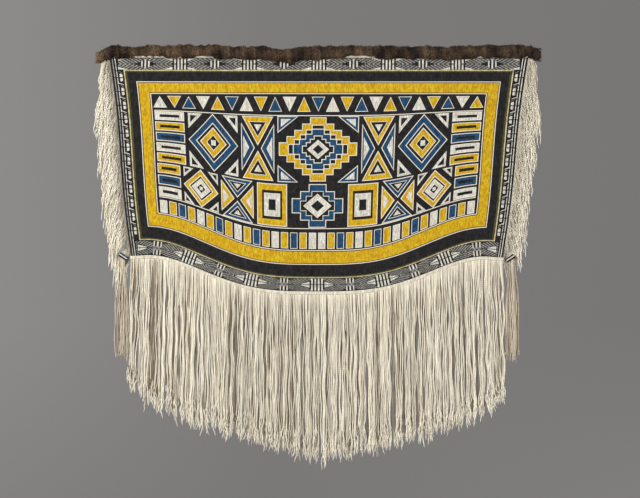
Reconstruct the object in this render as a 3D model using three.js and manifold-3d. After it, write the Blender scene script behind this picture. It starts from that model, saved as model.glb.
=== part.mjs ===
// A twined dance blanket, hanging by its top edge: a wool panel whose lower edge bows down in the middle,
// a folded strip of fur over the top edge, a long warp fringe below, a shorter fringe down each side,
// and at each lower corner a tassel held in a striped binding.
// Millimetres, +Z up, front towards -Y. The origin is the middle of the woven panel's top edge.
import * as THREE from "three";
import Module from "manifold-3d";

const wasm = await Module();
wasm.setup();

const SEAM = 0.3; // clearance between two pieces that are sewn together

// Woven panel
const TOP_WIDTH = 1520;
const LOWER_WIDTH = 1350; // between the two lower corners
const SIDE_DROP = 721; // top edge down to the ends of the bow
const BOW_DROP = 127; // how far the middle of the lower edge hangs below that
const BOW_SPAN = 0.9; // the bow's share of the lower width
const BOW_FULLNESS = 1.6; // above 1, the bow is broad in the middle and quick at its ends
const CORNER_DIP = 4;
const EDGE_SWAY = 4.5; // the side edges bend in above the middle and out below it
const CLOTH_THICK = 3.5;
const CLOTH_COLUMNS = 36;
const CLOTH_ROWS = 10;
const CORNER_Z = -(SIDE_DROP + CORNER_DIP);

// Soft waves across the cloth, deepest at the lower edge
const WAVES = [
  { depth: 3.6, length: 520, start: -50 },
  { depth: 1.8, length: 263, start: -88 },
];

// Fur strip, folded over the top edge
const FUR_LENGTH = 1624;
const FUR_STEPS = 84;
const FUR_CORNERS = 8; // of its section
const FUR_HALF_DEPTH = 14.5;
const FUR_HALF_HEIGHT = 27;
const FUR_MIDDLE_Z = 21.5;
const FUR_LUMP = { share: 0.13, length: 145, swell: 383 }; // how far its depth varies, and over what
const FUR_TUFT = 3.2; // how far single tufts stand out at the rim
const FUR_SAG = { depth: 11, x: -116, reach: 60 }; // it dips a little left of the middle
const FUR_SWAY = { depth: 1.5, length: 610 };
const FUR_END_REACH = 52; // the stretch at each end that narrows and droops
const FUR_END_DROOP = 13;
const FUR_END_NARROWING = 0.4;

// Fringe below the panel
const HEM_HEIGHT = 9; // the close row of warp ends that the strands spring from
const HEM_HALF_DEPTH = 5;
const HEM_OVERHANG = 9; // past the panel's corners, under the side edgings
const FRINGE_PER_LAYER = 68;
const FRINGE_HALF_WIDTH = 6.8;
const FRINGE_HALF_DEPTH = 2.9;
const FRINGE_LAYER_Y = 3.7;
const FRINGE_CENTRE_Z = -1480; // its tips below the middle of the panel
const FRINGE_SLOPE_RISE = 182; // how much higher the tips end towards the corners
const FRINGE_END_RISE = 73; // and how much more in the last few strands
const FRINGE_RAGGED = 16;
const FRINGE_SPREAD = 10; // how far the outermost strands drift outwards
const FRINGE_ROOT_SHARE = 0.6; // of the hem's height, where a strand springs from
const FRINGE_WIDTHS = [0.75, 1, 0.65]; // shares of its width at the root, past the middle and at the tip
const FRINGE_BELLY = 0.55; // where along a strand the middle one of these lies

// Fringe down each side
const EDGING_WIDTH = 8;
const EDGING_HALF_DEPTH = 4.5;
const EDGING_TOP_Z = -13;
const LOCKS_PER_SIDE = 36;
const LOCK_LAYERS = 3;
const LOCK_LAYER_Y = 8;
const LOCK_HALF_WIDTH = 4.6;
const LOCK_HALF_DEPTH = 3.3;
const LOCK_TOP_Z = -22;
const LOCK_LOWEST_Z = -650;
const LOCK_DROP = 165;
const LOCK_RAGGED = 30;
const LOCK_THROW = 30; // how far out a lock springs before it hangs
const LOCK_THROW_DROP = 15;
const LOCK_DRIFT = 0.18; // outward drift for each unit of drop
const LOCK_BENDS = [0, 5, 18, 60]; // the drops at which its curve is stepped, before its tip
const LOCK_WIDTHS = [0.6, 0.8, 0.9, 1, 0.5]; // shares of its width there and at the tip

// Corner tassels and their bindings
const BINDING_HALF_LENGTH = 17;
const BINDING_HALF_HEIGHT = 8;
const BINDING_HALF_DEPTH = 9;
const BINDING_WALL = 3.5;
const BINDING_TILT = THREE.MathUtils.degToRad(33); // its outer end is the higher one
const BINDING_Z = -727;
const TASSEL_HEAD_HALF_HEIGHT = 12;
const TASSEL_TIP_Z = -1106;
const TASSEL_COLUMNS = 4;
const TASSEL_INNER_X = 697;
const TASSEL_OUTER_X = 736;
const TASSEL_HALF_WIDTH = 4.8;
const TASSEL_HALF_DEPTH = 2.6;
const TASSEL_ROOT_Y = 2.2; // its two layers of strands lie this far from its middle at the head
const TASSEL_LAYER_Y = 5; // and this far below
const TASSEL_ROOT_SPREAD = 0.7; // share of the head's length that the roots take up
const TASSEL_BENDS = [0.12, 0.5, 1]; // shares of a strand's drop at which its curve is stepped
const TASSEL_WIDTHS = [0.5, 0.8, 1, 0.6]; // shares of its width at the root and there

const MATERIALS = {
  cloth: { color: 0x2c2c29, roughness: 0.95, metalness: 0 },
  fur: { color: 0x46392f, roughness: 0.9, metalness: 0 },
  yarn: { color: 0xcfc4ad, roughness: 0.95, metalness: 0 },
  binding: { color: 0x1f4c74, roughness: 0.9, metalness: 0 },
};

// A repeatable number from 0 to 1 for a piece's number and the use it is put to.
function chance(piece, use) {
  const wide = Math.sin(piece * 12.9898 + use * 78.233) * 43758.5453;
  return wide - Math.floor(wide);
}

function spread(piece, use) {
  return 2 * chance(piece, use) - 1;
}

function wave(x, length) {
  return Math.sin((2 * Math.PI * x) / length);
}

function smooth(t) {
  const s = THREE.MathUtils.clamp(t, 0, 1);
  return s * s * (3 - 2 * s);
}

// The lower edge's height at share u of the half width, from -1 at the left corner to 1 at the right one.
function lowerEdgeZ(u) {
  const along = Math.min(1, Math.pow(Math.abs(u) / BOW_SPAN, BOW_FULLNESS));
  const bow = BOW_DROP * Math.pow(Math.cos((Math.PI / 2) * along), 2);
  const dip = CORNER_DIP * smooth((Math.abs(u) - BOW_SPAN) / (1 - BOW_SPAN));
  return -(SIDE_DROP + bow + dip);
}

function clothHalfWidth(z) {
  const share = -z / SIDE_DROP;
  const straight = (TOP_WIDTH + (LOWER_WIDTH - TOP_WIDTH) * share) / 2;
  return straight - EDGE_SWAY * Math.sin(2 * Math.PI * Math.min(1, share));
}

function clothY(x, z) {
  const hang = Math.min(1, -z / SIDE_DROP);
  return hang * WAVES.reduce((sum, { depth, length, start }) => sum + depth * wave(x - start, length), 0);
}

function clothPoint(u, v) {
  const z = v * lowerEdgeZ(u);
  const x = u * clothHalfWidth(z);
  return new THREE.Vector3(x, clothY(x, z), z);
}

// A closed solid through a row of sections, each a list of the same even number of points,
// which turn right-handedly about the way that the row runs.
function loft(sections) {
  const count = sections[0].length;
  const vertProperties = new Float32Array(sections.flat().flatMap((p) => [p.x, p.y, p.z]));
  const triangles = [];
  for (let s = 0; s + 1 < sections.length; s++) {
    for (let k = 0; k < count; k++) {
      const a = s * count + k;
      const b = s * count + ((k + 1) % count);
      triangles.push([a, b, b + count], [a, b + count, a + count]);
    }
  }
  const last = (sections.length - 1) * count;
  for (let k = 0; k + 1 < count / 2; k++) {
    const [a, b, c, d] = [k, k + 1, count - 2 - k, count - 1 - k];
    triangles.push([a, c, b], [a, d, c]);
    triangles.push([last + a, last + b, last + c], [last + a, last + c, last + d]);
  }
  const triVerts = new Uint32Array(triangles.flat());
  return new wasm.Manifold(new wasm.Mesh({ numProp: 3, vertProperties, triVerts }));
}

// A box section for a piece that runs along +X.
function crossSection(middle, halfDepth, halfHeight) {
  const corners = [[-1, -1], [1, -1], [1, 1], [-1, 1]];
  return corners.map(
    ([y, z]) => new THREE.Vector3(middle.x, middle.y + y * halfDepth, middle.z + z * halfHeight),
  );
}

// A box section for a strand that runs down a path, square to it in the XZ plane.
function strandSection(middle, tangent, halfWidth, halfDepth) {
  const across = new THREE.Vector3(-tangent.z, 0, tangent.x).normalize();
  const corners = [[1, -1], [-1, -1], [-1, 1], [1, 1]];
  return corners.map(([side, y]) => {
    const corner = middle.clone().addScaledVector(across, side * halfWidth);
    corner.y += y * halfDepth;
    return corner;
  });
}

// A strand through points, as wide at each as its share of the full width.
function strand(points, shares, halfWidth, halfDepth) {
  const sections = points.map((point, i) => {
    const ahead = points[Math.min(points.length - 1, i + 1)];
    const behind = points[Math.max(0, i - 1)];
    const tangent = ahead.clone().sub(behind);
    return strandSection(point, tangent, halfWidth * shares[i], halfDepth * shares[i]);
  });
  return loft(sections);
}

function joined(solids) {
  return solids.reduce((all, next) => all.add(next));
}

function geometryOf(solid) {
  const mesh = solid.getMesh();
  const geometry = new THREE.BufferGeometry();
  geometry.setAttribute("position", new THREE.BufferAttribute(mesh.vertProperties, 3));
  geometry.setIndex(new THREE.BufferAttribute(mesh.triVerts, 1));
  geometry.computeVertexNormals();
  return geometry;
}

function meshOf(name, solid, material) {
  const mesh = new THREE.Mesh(geometryOf(solid), new THREE.MeshStandardMaterial(MATERIALS[material]));
  mesh.name = name;
  return mesh;
}

function boxSolid(width, depth, height, matrix) {
  const box = new THREE.BoxGeometry(width, depth, height);
  box.deleteAttribute("normal");
  box.deleteAttribute("uv");
  box.applyMatrix4(matrix);
  const corners = [];
  const numbers = new Map();
  const position = box.getAttribute("position");
  const triVerts = Uint32Array.from(box.index.array, (index) => {
    const corner = new THREE.Vector3().fromBufferAttribute(position, index);
    const key = corner.toArray().map((value) => value.toFixed(3)).join();
    if (!numbers.has(key)) {
      numbers.set(key, numbers.size);
      corners.push(...corner.toArray());
    }
    return numbers.get(key);
  });
  const vertProperties = new Float32Array(corners);
  return new wasm.Manifold(new wasm.Mesh({ numProp: 3, vertProperties, triVerts }));
}

// The woven panel: a thin sheet, one section for each column, front face down and back face up.
function wovenPanel() {
  const sections = [];
  for (let column = 0; column <= CLOTH_COLUMNS; column++) {
    const u = (2 * column) / CLOTH_COLUMNS - 1;
    const face = Array.from({ length: CLOTH_ROWS + 1 }, (_, row) => clothPoint(u, row / CLOTH_ROWS));
    const front = face.map((p) => new THREE.Vector3(p.x, p.y - CLOTH_THICK / 2, p.z));
    const back = face.map((p) => new THREE.Vector3(p.x, p.y + CLOTH_THICK / 2, p.z));
    sections.push([...front, ...back.reverse()]);
  }
  return loft(sections);
}

function furSection(step) {
  const x = FUR_LENGTH * (step / FUR_STEPS - 0.5);
  const pastShoulder = smooth((Math.abs(x) - (FUR_LENGTH / 2 - FUR_END_REACH)) / FUR_END_REACH);
  const size = 1 - FUR_END_NARROWING * pastShoulder;
  const lump = 1 + FUR_LUMP.share * wave(x, FUR_LUMP.length) * wave(x, FUR_LUMP.swell);
  const sag = FUR_SAG.depth * Math.exp(-Math.pow((x - FUR_SAG.x) / FUR_SAG.reach, 2));
  const sway = FUR_SWAY.depth * wave(x, FUR_SWAY.length);
  const middle = FUR_MIDDLE_Z - FUR_END_DROOP * pastShoulder - sag + sway;
  return Array.from({ length: FUR_CORNERS }, (_, corner) => {
    const angle = (2 * Math.PI * (corner + 0.5)) / FUR_CORNERS - Math.PI / 2;
    const tuft = FUR_TUFT * spread(step * FUR_CORNERS + corner, 1);
    const y = Math.cos(angle) * (FUR_HALF_DEPTH * size * lump + tuft);
    const z = middle + Math.sin(angle) * (FUR_HALF_HEIGHT * size + tuft);
    return new THREE.Vector3(x, y, z);
  });
}

// The fur: a lumpy folded strip with a slot for the panel's top edge.
function furStrip() {
  const strip = loft(Array.from({ length: FUR_STEPS + 1 }, (_, step) => furSection(step)));
  const slotDepth = 3 * FUR_HALF_HEIGHT;
  const slotThick = CLOTH_THICK + 3 * SEAM;
  const place = new THREE.Matrix4().makeTranslation(0, 0, SEAM - slotDepth / 2);
  return strip.subtract(boxSolid(TOP_WIDTH + 2 * SEAM, slotThick, slotDepth, place));
}

function fringeTipZ(u) {
  const slope = FRINGE_SLOPE_RISE * Math.pow(Math.abs(u), 1.1);
  const end = FRINGE_END_RISE * Math.pow(Math.abs(u), 10);
  return FRINGE_CENTRE_Z + slope + end;
}

// The close row of warp ends along the lower edge, in steps that match the panel's columns.
function fringeHem() {
  const rowZ = (z) => z - SEAM - HEM_HEIGHT / 2;
  const points = Array.from({ length: CLOTH_COLUMNS + 1 }, (_, column) => {
    const edge = clothPoint((2 * column) / CLOTH_COLUMNS - 1, 1);
    return new THREE.Vector3(edge.x, edge.y, rowZ(edge.z));
  });
  const left = points[0].clone();
  const right = points[CLOTH_COLUMNS].clone();
  left.x -= HEM_OVERHANG;
  right.x += HEM_OVERHANG;
  const run = [left, ...points, right];
  return loft(run.map((point) => crossSection(point, HEM_HALF_DEPTH, HEM_HEIGHT / 2)));
}

function fringeStrand(layer, place) {
  const number = layer * FRINGE_PER_LAYER + place;
  const u = (2 * (place + 0.25 + 0.5 * layer)) / FRINGE_PER_LAYER - 1;
  const root = clothPoint(u, 1);
  const rootZ = root.z - SEAM - HEM_HEIGHT * FRINGE_ROOT_SHARE;
  const tip = fringeTipZ(u) + FRINGE_RAGGED * spread(number, 2);
  const layerY = FRINGE_LAYER_Y * (layer ? 1 : -1);
  const points = [0, FRINGE_BELLY, 1].map((share, i) => {
    const sway = i ? spread(number, 3 + i) : 0;
    const x = root.x + FRINGE_SPREAD * u * share + sway;
    const y = root.y * (1 - 0.5 * share) + layerY;
    return new THREE.Vector3(x, y, THREE.MathUtils.lerp(rootZ, tip, share));
  });
  return strand(points, FRINGE_WIDTHS, FRINGE_HALF_WIDTH, FRINGE_HALF_DEPTH);
}

function lowerFringe() {
  const strands = [0, 1].flatMap((layer) =>
    Array.from({ length: FRINGE_PER_LAYER }, (_, place) => fringeStrand(layer, place)),
  );
  return joined([fringeHem(), ...strands]);
}

// The edging beside the panel's edge on one side, in steps that match the panel's rows.
function sideEdging(side) {
  const top = clothPoint(side, 0);
  const rows = Array.from({ length: CLOTH_ROWS }, (_, row) => clothPoint(side, (row + 1) / CLOTH_ROWS));
  const start = top.clone().lerp(rows[0], (EDGING_TOP_Z - top.z) / (rows[0].z - top.z));
  const down = new THREE.Vector3(0, 0, -1);
  const sections = [start, ...rows].map((edge) => {
    const middle = edge.clone();
    middle.x += side * (SEAM + EDGING_WIDTH / 2);
    return strandSection(middle, down, EDGING_WIDTH / 2, EDGING_HALF_DEPTH);
  });
  return loft(sections);
}

// A lock springs outwards from the edging, then hangs with a slight outward drift.
// Every lock follows the same curve, so those of one layer never touch.
function sideLock(side, number) {
  const rootZ = THREE.MathUtils.lerp(LOCK_TOP_Z, LOCK_LOWEST_Z, number / (LOCKS_PER_SIDE - 1));
  const root = clothPoint(side, rootZ / CORNER_Z);
  const layerY = LOCK_LAYER_Y * ((number % LOCK_LAYERS) - 1);
  const seed = number + (side > 0 ? LOCKS_PER_SIDE : 0);
  const length = LOCK_DROP + LOCK_RAGGED * spread(seed, 7);
  const points = [...LOCK_BENDS, length].map((drop) => {
    const thrown = LOCK_THROW * (1 - Math.exp(-drop / LOCK_THROW_DROP));
    const out = SEAM + EDGING_WIDTH / 2 + thrown + LOCK_DRIFT * drop;
    const y = root.y + layerY * smooth(thrown / LOCK_THROW);
    return new THREE.Vector3(root.x + side * out, y, rootZ - drop);
  });
  return strand(points, LOCK_WIDTHS, LOCK_HALF_WIDTH, LOCK_HALF_DEPTH);
}

function sideFringe(side) {
  const locks = Array.from({ length: LOCKS_PER_SIDE }, (_, number) => sideLock(side, number));
  return joined([sideEdging(side), ...locks]);
}

// Where a binding stands: its inner corner is one seam clear of the hem's end.
function bindingMatrix(side) {
  const cornerReach =
    BINDING_HALF_LENGTH * Math.cos(BINDING_TILT) + BINDING_HALF_HEIGHT * Math.sin(BINDING_TILT);
  const hemEnd = Math.abs(clothPoint(side, 1).x) + HEM_OVERHANG;
  const x = side * (hemEnd + SEAM + cornerReach);
  const y = clothPoint(side, 1).y;
  const turned = new THREE.Matrix4().makeRotationY(-side * BINDING_TILT);
  return new THREE.Matrix4().makeTranslation(x, y, BINDING_Z).multiply(turned);
}

// The binding is a flat ring that the tassel's head passes through.
function binding(side) {
  const matrix = bindingMatrix(side);
  const outer = boxSolid(
    2 * BINDING_HALF_LENGTH, 2 * BINDING_HALF_DEPTH, 2 * BINDING_HALF_HEIGHT, matrix);
  const hole = boxSolid(
    2 * (BINDING_HALF_LENGTH - BINDING_WALL),
    2 * (BINDING_HALF_DEPTH - BINDING_WALL),
    4 * BINDING_HALF_HEIGHT,
    matrix,
  );
  return outer.subtract(hole);
}

function tasselStrand(side, column, layer, matrix) {
  const share = column / (TASSEL_COLUMNS - 1);
  const headHalfLength = BINDING_HALF_LENGTH - BINDING_WALL - SEAM;
  const rootOut = (2 * share - 1) * TASSEL_ROOT_SPREAD * headHalfLength;
  const facing = layer ? 1 : -1;
  const rootUp = -0.75 * TASSEL_HEAD_HALF_HEIGHT;
  const root = new THREE.Vector3(side * rootOut, facing * TASSEL_ROOT_Y, rootUp).applyMatrix4(matrix);
  const middleY = root.y - facing * TASSEL_ROOT_Y;
  const endX = side * THREE.MathUtils.lerp(TASSEL_INNER_X, TASSEL_OUTER_X, share);
  const number = column * 2 + layer + (side > 0 ? 2 * TASSEL_COLUMNS : 0);
  const tip = TASSEL_TIP_Z + FRINGE_RAGGED * spread(number, 9);
  const points = [root];
  const [parted, straight] = TASSEL_BENDS;
  for (const down of TASSEL_BENDS) {
    const x = THREE.MathUtils.lerp(root.x, endX, smooth(down / straight));
    const apart = THREE.MathUtils.lerp(TASSEL_ROOT_Y, TASSEL_LAYER_Y, smooth(down / parted));
    const y = middleY + facing * apart;
    points.push(new THREE.Vector3(x, y, THREE.MathUtils.lerp(root.z, tip, down)));
  }
  return strand(points, TASSEL_WIDTHS, TASSEL_HALF_WIDTH, TASSEL_HALF_DEPTH);
}

function tassel(side) {
  const matrix = bindingMatrix(side);
  const head = boxSolid(
    2 * (BINDING_HALF_LENGTH - BINDING_WALL - SEAM),
    2 * (BINDING_HALF_DEPTH - BINDING_WALL - SEAM),
    2 * TASSEL_HEAD_HALF_HEIGHT,
    matrix,
  );
  const strands = [0, 1].flatMap((layer) =>
    Array.from({ length: TASSEL_COLUMNS }, (_, column) => tasselStrand(side, column, layer, matrix)),
  );
  return joined([head, ...strands]);
}

const blanket = new THREE.Group();
blanket.add(meshOf("woven_panel", wovenPanel(), "cloth"));
blanket.add(meshOf("fur_strip", furStrip(), "fur"));
blanket.add(meshOf("lower_fringe", lowerFringe(), "yarn"));
for (const [name, side] of [["left", -1], ["right", 1]]) {
  blanket.add(meshOf(`side_fringe_${name}`, sideFringe(side), "yarn"));
  blanket.add(meshOf(`binding_${name}`, binding(side), "binding"));
  blanket.add(meshOf(`tassel_${name}`, tassel(side), "yarn"));
}

export default blanket;
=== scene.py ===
"""The looks of a twined dance blanket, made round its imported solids.

Metres, +Z up, front towards -Y. The origin is the middle of the woven panel's top edge.
"""

import math
from collections import namedtuple

import bpy
import numpy as np
from mathutils import Matrix, Vector
from mathutils.geometry import delaunay_2d_cdt


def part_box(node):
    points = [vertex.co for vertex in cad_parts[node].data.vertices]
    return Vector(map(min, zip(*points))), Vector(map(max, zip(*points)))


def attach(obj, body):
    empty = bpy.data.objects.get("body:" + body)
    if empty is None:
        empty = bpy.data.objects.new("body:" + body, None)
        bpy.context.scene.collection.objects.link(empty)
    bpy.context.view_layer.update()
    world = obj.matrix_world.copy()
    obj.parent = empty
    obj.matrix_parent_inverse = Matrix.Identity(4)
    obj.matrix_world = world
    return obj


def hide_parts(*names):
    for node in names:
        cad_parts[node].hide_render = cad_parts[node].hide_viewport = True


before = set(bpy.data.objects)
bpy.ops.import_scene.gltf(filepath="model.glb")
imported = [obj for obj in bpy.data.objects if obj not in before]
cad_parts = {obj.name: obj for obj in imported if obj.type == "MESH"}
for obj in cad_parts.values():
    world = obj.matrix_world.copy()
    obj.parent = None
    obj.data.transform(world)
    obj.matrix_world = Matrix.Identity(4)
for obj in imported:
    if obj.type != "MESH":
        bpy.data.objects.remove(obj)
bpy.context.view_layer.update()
panel_low, panel_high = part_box("woven_panel")
fur_low, fur_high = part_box("fur_strip")
MM = 0.001

# Woven panel, with the same outline and waves as its solid
TOP_HALF = panel_high.x
LOWER_HALF = 0.675
SIDE_DROP = 0.721
BOW_DROP = -panel_low.z - SIDE_DROP
BOW_SPAN = 0.9
BOW_FULLNESS = 1.6
CORNER_DIP = 4 * MM
EDGE_SWAY = 4.5 * MM
CLOTH_THICK = 3.5 * MM
SEAM = 0.3 * MM
WAVES = ((3.6 * MM, 0.52, -0.05), (1.8 * MM, 0.263, -0.088))  # depth, length, start
LEAN = 7 * MM  # how far the lower edge hangs over to the left
LEFT_RISE = 6 * MM  # how much higher its left corner hangs
GROUND_STEP = 0.024  # spacing of the points that carry the waves across plain ground

# Bands round the field: distance of each one's inner side from the panel's top edge,
# from its side edge high up and low down, and from its lower edge
Inset = namedtuple("Inset", "top high low lower")


def inset_mm(*distances):
    return Inset(*(distance * MM for distance in distances))


OUTER_EDGE = Inset(0, 0, 0, 0)
FIGURED = inset_mm(43.5, 44, 38, 48.5)
PALE_LINE = inset_mm(47.5, 48.4, 42.2, 51.6)
OLIVE_LINE = inset_mm(52, 56.5, 49.5, 56)
BLACK_BAND = inset_mm(87.5, 88, 76, 98)
YELLOW_BAND = inset_mm(130, 134, 115, 148)
CORNER_RISE = 8 * MM  # how much higher the bands along the lower edge stand at its corners
INK_LINE = 2.2 * MM
CORD_WIDTH = 3.8 * MM
CORD_HEIGHT = 1.1 * MM

# Figured borders
TOP_UNDER_FUR = 2 * MM
TOP_PITCH = 0.252
LOWER_PITCH = 0.240
BAR = 6.1 * MM
BARS_HALF = 4.5 * BAR  # half the width of a group of four bars
SIDE_LINES = 25.5 * MM  # the upright lines next to the side edge
SIDE_PITCH = 50 * MM
HATCH_LEAN, HATCH_SHARE = 1.8, 0.47  # slope and light share of the hatching
TOP_HATCH_PITCH, LOWER_HATCH_PITCH = 16.5 * MM, 13.4 * MM

# Yarn, fur and trimming
YARN = 1.55 * MM
OUTER_STRANDS, CORE_STRANDS = 1120, 480
HEADING_ENDS, SIDE_STRANDS, TASSEL_STRANDS = 520, 620, 52
HAIRS = 26000  # of each length
HEM_OVERHANG = 9 * MM
FRINGE_TIP_Z = -1.452
FRINGE_TILT = -8 * MM  # how much lower the fringe ends on the right
FRINGE_LOWEST = 0.05  # the share of the half width where it hangs lowest
HANK_SWAY, HANK_BEND = 2 * MM, 0.16  # how far a hank bends sideways, and over what length
FRINGE_SLOPE_RISE = 0.182  # how much higher it ends at its corners, along an even slope
FRINGE_END_RISE = 0.073  # and how much more, close to the corners alone
FRINGE_SPREAD = 12 * MM  # how far the outermost strands fall outwards
FUR_MIDDLE = 19 * MM
FUR_HALF_HEIGHT = 23 * MM
FUR_NOTCHES = ((-0.63, 0.07), (-0.415, 0.04), (0.15, 0.055))  # where its lower side is worn away
SIDE_REACH = {-1: 82 * MM, 1: 73 * MM}  # how far the side fringes stand out, left and right
SIDE_START = 0.1  # how far down the side fringes reach their full width
TASSEL_TIP_Z = -1.084
TASSEL_INNER_X = 0.688
TASSEL_OUTER_X = 0.73
BINDING_HALF_LENGTH = 17 * MM
BINDING_HALF_HEIGHT = 8 * MM
BINDING_HALF_DEPTH = 9 * MM
BINDING_TILT = math.radians(33)
BINDING_Z = -0.727

# The photograph's frame, at the blanket's plane
VIEW_WIDTH = 2.3245
VIEW_CENTRE = (0.004, -0.694)
CAMERA_DISTANCE = 9.0
SENSOR = 36.0
FLOOR_Z = -1.76

rng = np.random.default_rng(11)

# Hanks the lower fringe's strands gather into
HANKS = 74
HANK_WIDTHS = rng.uniform(0.5, 1.6, HANKS)
HANK_LENGTHS = rng.normal(0, 6, HANKS) * MM
HANK_DRIFTS = rng.normal(0, 2.5, HANKS) * MM
HANK_DEPTHS = rng.uniform(-4, 4, HANKS) * MM
HANK_PLACES = np.linspace(-1, 1, HANKS)
HANK_TONES = rng.uniform(0.49, 0.85, HANKS) + 0.28 * HANK_PLACES**2 + 0.18 * HANK_PLACES**3
FUR_BUMPS = rng.normal(0, 1, (7, 260))


def smooth(t):
    s = np.clip(t, 0.0, 1.0)
    return s * s * (3 - 2 * s)


def mix(a, b, t):
    return a + (b - a) * t


# Shape of the hanging panel


def drop_at(u):
    """How far the lower edge hangs below the top edge, at share u of the half width."""
    u = min(1.0, abs(u))
    along = min(1.0, (u / BOW_SPAN) ** BOW_FULLNESS)
    bow = BOW_DROP * math.cos(math.pi / 2 * along) ** 2
    return SIDE_DROP + bow + CORNER_DIP * smooth((u - BOW_SPAN) / (1 - BOW_SPAN))


def half_width(z):
    share = -z / SIDE_DROP
    straight = TOP_HALF + (LOWER_HALF - TOP_HALF) * share
    return straight - EDGE_SWAY * math.sin(2 * math.pi * min(1.0, share))


def lower_z(x):
    u = x / LOWER_HALF
    for _ in range(4):
        u = x / half_width(-drop_at(u))
    return -drop_at(u)


def cloth_y(x, z):
    hang = min(1.0, -z / SIDE_DROP)
    waves = (depth * math.sin(2 * math.pi * (x - start) / length) for depth, length, start in WAVES)
    return hang * sum(waves)


def steepness(x):
    step = 1 * MM
    slope = (lower_z(x + step) - lower_z(x - step)) / (2 * step)
    return math.sqrt(1 + slope * slope)


def corner_rise(x):
    return CORNER_RISE * smooth((abs(x) / LOWER_HALF - 0.6) / 0.35)


def inner_lower_z(x, inset):
    rise = corner_rise(x) * smooth(inset / FIGURED.lower)
    return lower_z(x) + inset * steepness(x) + rise


def inner_half(z, inset):
    return half_width(z) - mix(inset.high, inset.low, min(1, -z / SIDE_DROP))


def corner_x(inset):
    x = LOWER_HALF
    for _ in range(6):
        x = inner_half(inner_lower_z(x, inset.lower), inset)
    return x


TOP_STEPS, SIDE_STEPS, LOWER_STEPS = 36, 20, 72  # points along the edges of a loop


def inset_loop(inset):
    """The panel's outline drawn in by an inset; loops of any inset match point by point."""
    corner = corner_x(inset)
    corner_z = inner_lower_z(corner, inset.lower)
    high = inner_half(-inset.top, inset)
    loop = [(mix(-high, high, i / TOP_STEPS), -inset.top) for i in range(TOP_STEPS)]
    down = [mix(-inset.top, corner_z, i / SIDE_STEPS) for i in range(SIDE_STEPS)]
    loop += [(inner_half(z, inset), z) for z in down]
    across = [mix(corner, -corner, i / LOWER_STEPS) for i in range(LOWER_STEPS)]
    loop += [(x, inner_lower_z(x, inset.lower)) for x in across]
    loop += [(-inner_half(z, inset), z) for z in [corner_z] + down[:0:-1]]
    return loop


# Painting: polygons in the panel's plane, later ones over earlier ones

BLACK, WHITE, YELLOW, BLUE, PALE, OLIVE, INK, ASH, SLATE = range(9)
BORDER_EDGE, CELL_EDGE = 0.02, 0.25  # longest straight edges, in metres and in shares of half a cell
painted = []
cords = []


def edges(points):
    return zip(points, points[1:] + points[:1])


def twice_area(points):
    return sum(a[0] * b[1] - b[0] * a[1] for a, b in edges(points))


def paint(points, colour):
    area = twice_area(points)
    if abs(area) > 1e-7:
        painted.append((points if area > 0 else points[::-1], colour))


def band(outer, inner, colour):
    for (a, b), (d, c) in zip(edges(outer), edges(inner)):
        paint([a, b, c, d], colour)


def lay_cord(points, width=CORD_WIDTH, closed=True):
    cords.append((points, width, closed))


def drawn_in(inset, by):
    return Inset(*(distance + by for distance in inset))


def split_edges(points, longest):
    """The same outline with no edge longer than longest."""
    out = []
    for a, b in edges(points):
        pieces = max(1, math.ceil(math.dist(a, b) / longest))
        out += [(mix(a[0], b[0], i / pieces), mix(a[1], b[1], i / pieces)) for i in range(pieces)]
    return out


def clip(points, a, b, c):
    """The part of a convex polygon where a*x + b*y <= c."""
    out = []
    for p, q in edges(points):
        dp, dq = a * p[0] + b * p[1] - c, a * q[0] + b * q[1] - c
        if dp <= 0:
            out.append(p)
        if dp * dq < 0:
            t = dp / (dp - dq)
            out.append((mix(p[0], q[0], t), mix(p[1], q[1], t)))
    return out


class Border:
    """A strip along an edge: place(s, t) gives the point s along it and t above its middle line."""

    def __init__(self, place):
        self.place = place

    def paint(self, points, colour):
        paint([self.place(s, t) for s, t in split_edges(points, BORDER_EDGE)], colour)

    def box(self, s0, s1, t0, t1, colour):
        self.paint([(s0, t0), (s1, t0), (s1, t1), (s0, t1)], colour)

    def four_ways(self, centre, points, colour):
        for a in (-1, 1):
            for b in (-1, 1):
                self.paint([(centre + a * s, b * t) for s, t in points], colour)

    def hatch(self, centre, region, lean, pitch):
        """Light stripes on the dark ground of a region and its three mirror images."""
        self.four_ways(centre, region, SLATE)
        reach = max(s + abs(lean) * t for s, t in region)
        for k in range(-8, int(reach / pitch) + 1):
            stripe = clip(region, 1, lean, (k + HATCH_SHARE) * pitch)
            stripe = clip(stripe, -1, -lean, -k * pitch) if len(stripe) > 2 else []
            if len(stripe) > 2:
                self.four_ways(centre, stripe, ASH)

    def repeat(self, pitch, half, paint_lens, paint_bars):
        """Six lenses, half high above and below the middle line, and the bars between them."""
        for k in range(-3, 3):
            paint_lens(self, (k + 0.5) * pitch, half)
        for k in range(-2, 3):
            paint_bars(self, k * pitch, half)


def paint_top_border():
    low, high = -FIGURED.top + 1 * MM, -TOP_UNDER_FUR
    middle, half = (low + high) / 2, (high - low) / 2
    border = Border(lambda s, t: (s, middle + t))
    border.repeat(TOP_PITCH, half, paint_top_lens, paint_top_bars)


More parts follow.
